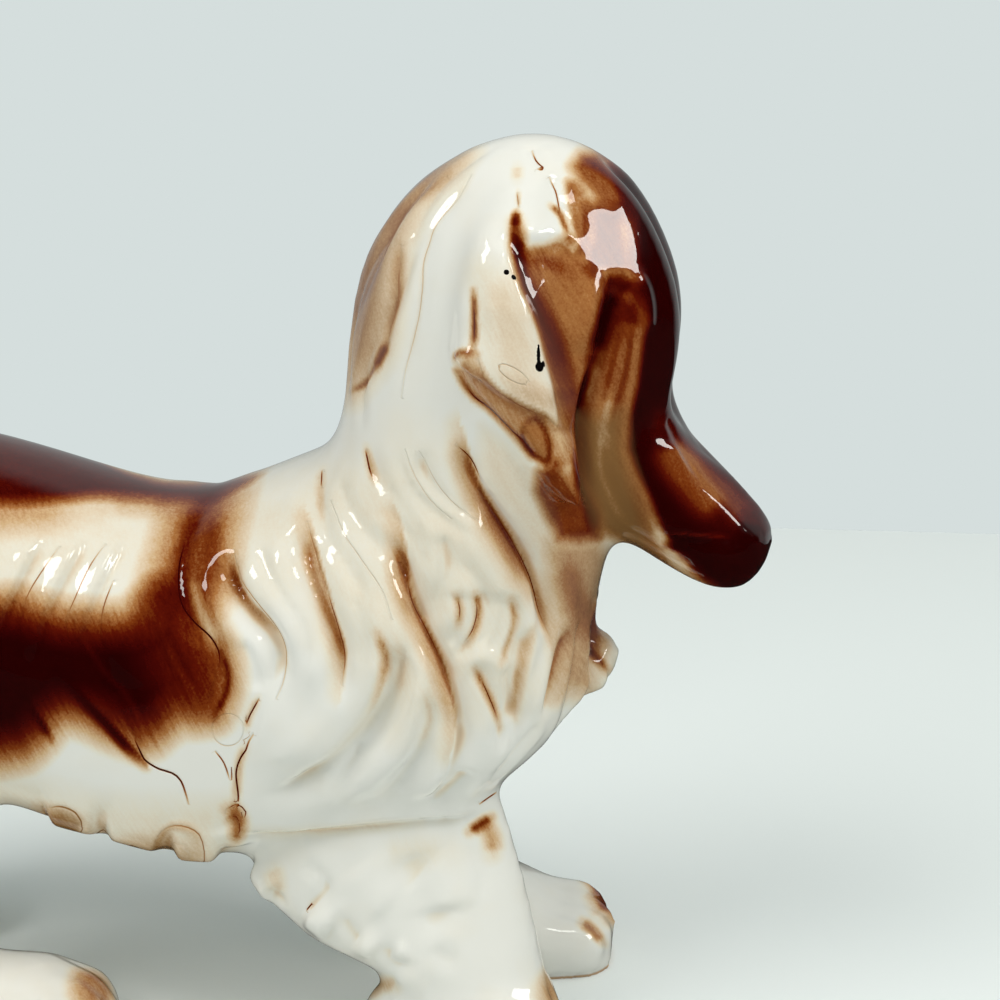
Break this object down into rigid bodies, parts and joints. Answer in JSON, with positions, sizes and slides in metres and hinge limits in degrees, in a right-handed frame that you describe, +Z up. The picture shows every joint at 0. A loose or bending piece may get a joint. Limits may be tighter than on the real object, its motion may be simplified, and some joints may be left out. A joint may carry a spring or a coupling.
{
  "type": "dog figurine",
  "caption": "Hollow glazed earthenware figurine of a long-haired spaniel walking with its head bowed, airbrushed brown over cream; an ornament that stands on its flat-soled paws.",
  "frame": {"origin": "on the ground under the middle of the whole figure", "axes": "+X towards the dog's nose, +Y towards its left side, +Z up"},
  "size_m": [0.3474, 0.12, 0.2705],
  "materials": {
    "cream_glaze": "gloss",
    "brown_glaze": "gloss",
    "luting_slip": "satin"
  },
  "bodies": {
    "root": {"torso_shell": "cream_glaze", "head_shell": "brown_glaze", "neck_slip_ring": "luting_slip", "front_right_leg": "cream_glaze", "front_right_leg_slip_ring": "luting_slip", "front_left_leg": "cream_glaze", "front_left_leg_slip_ring": "luting_slip", "hind_right_leg": "cream_glaze", "hind_right_leg_slip_ring": "luting_slip", "hind_left_leg": "cream_glaze", "hind_left_leg_slip_ring": "luting_slip", "right_ear": "cream_glaze", "right_ear_slip_pad": "luting_slip", "left_ear": "cream_glaze", "left_ear_slip_pad": "luting_slip", "tail": "brown_glaze", "tail_slip_pad": "luting_slip"}
  },
  "joints": []
}
